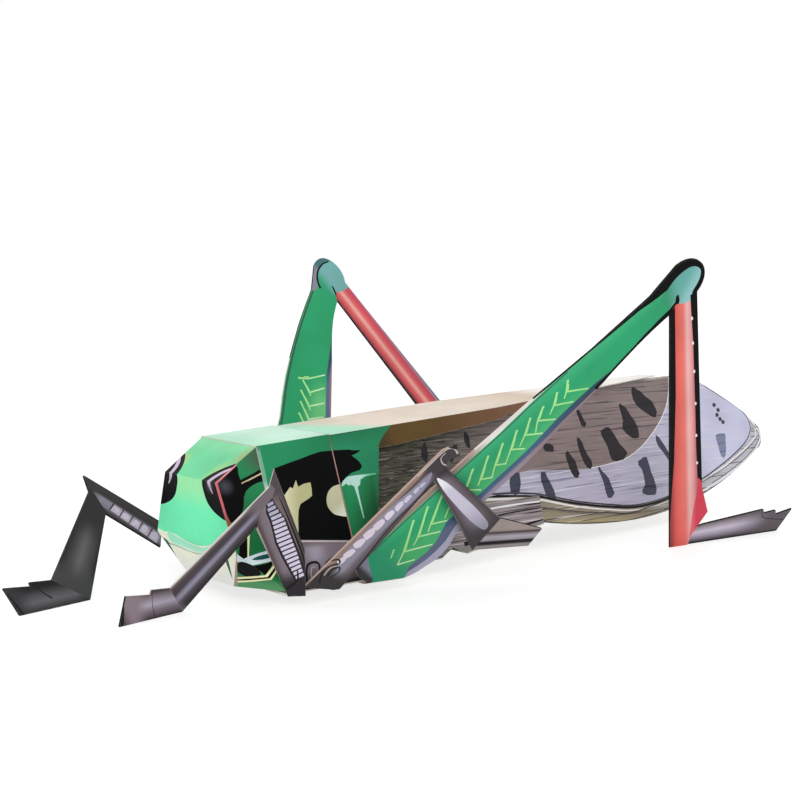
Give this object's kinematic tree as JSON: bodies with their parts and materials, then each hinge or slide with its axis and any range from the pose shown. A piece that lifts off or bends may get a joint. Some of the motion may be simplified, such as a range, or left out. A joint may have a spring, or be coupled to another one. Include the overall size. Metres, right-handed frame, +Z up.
{
  "type": "paper locust",
  "caption": "Papercraft locust of printed card: faceted folded head, boxy body, wings laid together at the tail, bent legs with folded feet.",
  "frame": {"origin": "on the table, under the middle of the overall box in X and Y", "axes": "+X towards the tail, along the body; +Y to the locust's right; +Z up"},
  "size_m": [0.35, 0.1992, 0.1086],
  "materials": {
    "head": "printed matt card",
    "pronotum_saddle": "printed matt card",
    "back_sheet": "printed matt card",
    "belly_plate": "printed matt card",
    "abdomen_tray": "printed matt card",
    "forewing_left": "printed matt card",
    "forewing_right": "printed matt card",
    "hindwing_left": "printed matt card",
    "hindwing_right": "printed matt card",
    "hind_leg_left": "printed matt card",
    "hind_leg_right": "printed matt card",
    "hind_foot_left": "printed matt card",
    "hind_foot_right": "printed matt card",
    "middle_leg_left": "printed matt card",
    "middle_leg_right": "printed matt card",
    "front_leg_left": "printed matt card",
    "front_leg_right": "printed matt card"
  },
  "bodies": {
    "root": {"head": "head", "pronotum_saddle": "pronotum_saddle", "back_sheet": "back_sheet", "belly_plate": "belly_plate", "abdomen_tray": "abdomen_tray", "forewing_left": "forewing_left", "forewing_right": "forewing_right", "hindwing_left": "hindwing_left", "hindwing_right": "hindwing_right", "hind_leg_left": "hind_leg_left", "hind_leg_right": "hind_leg_right", "hind_foot_left": "hind_foot_left", "hind_foot_right": "hind_foot_right", "middle_leg_left": "middle_leg_left", "middle_leg_right": "middle_leg_right", "front_leg_left": "front_leg_left", "front_leg_right": "front_leg_right"}
  },
  "joints": []
}
